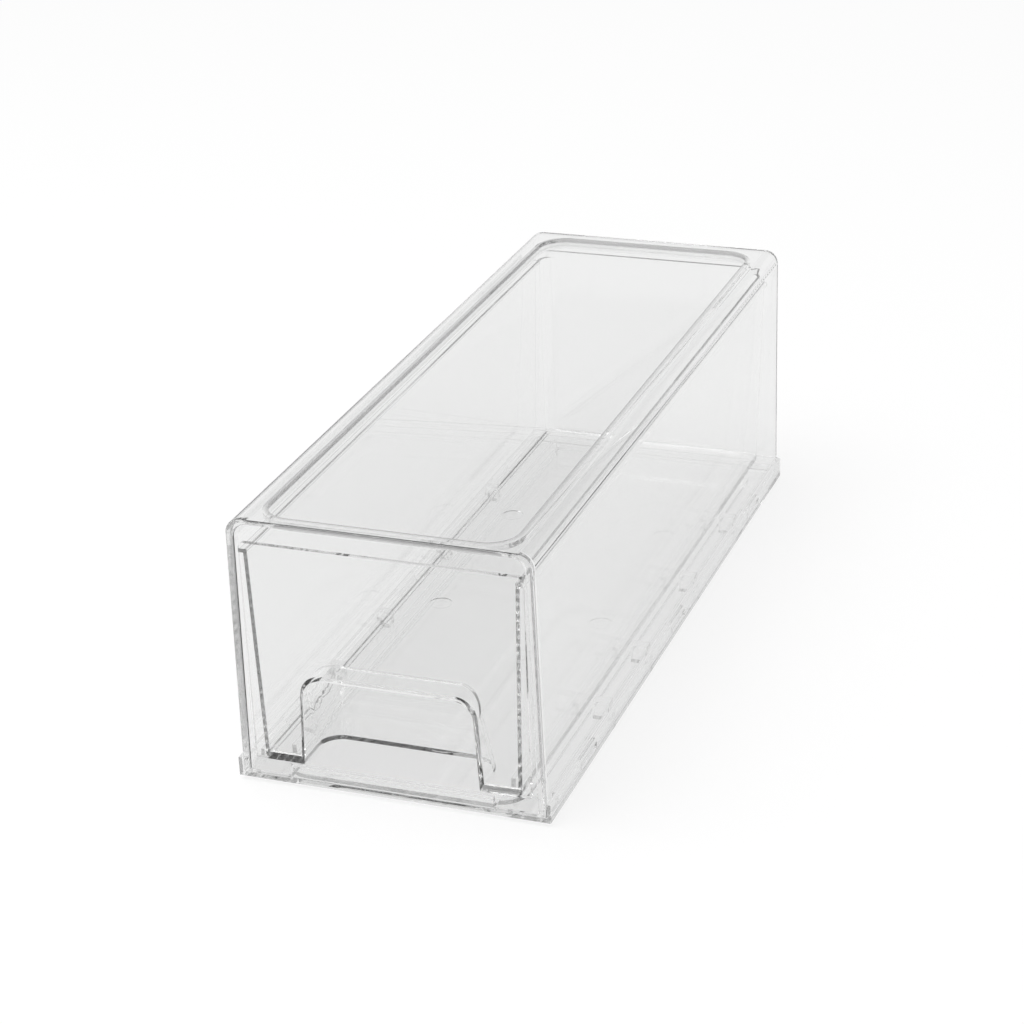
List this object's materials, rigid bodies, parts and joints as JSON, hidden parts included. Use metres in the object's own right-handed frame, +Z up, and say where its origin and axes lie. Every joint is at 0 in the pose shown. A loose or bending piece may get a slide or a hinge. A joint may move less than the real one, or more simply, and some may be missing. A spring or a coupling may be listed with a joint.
{
  "type": "stackable drawer box",
  "caption": "Clear plastic stackable drawer box: a shell open at the front, a base tray that clips on from below, and a sliding drawer with a hooded finger notch.",
  "frame": {"origin": "On the surface the box stands on, under the middle of the housing", "axes": "X to the right, Y from the open front to the back, Z up"},
  "size_m": [0.13, 0.3438, 0.1138],
  "materials": {
    "shell_clear": "clear, colourless, glossy injection moulding",
    "base_clear": "clear, colourless, glossy injection moulding",
    "drawer_clear": "clear, colourless, glossy injection moulding"
  },
  "bodies": {
    "housing": {"outer_shell": "shell_clear", "base_tray": "base_clear"},
    "drawer": {"drawer": "drawer_clear"}
  },
  "joints": [
    {"name": "drawer_slide", "type": "slide", "parent": "housing", "child": "drawer", "axis": [0, -1, 0], "range_m": [0, 0.28]}
  ]
}
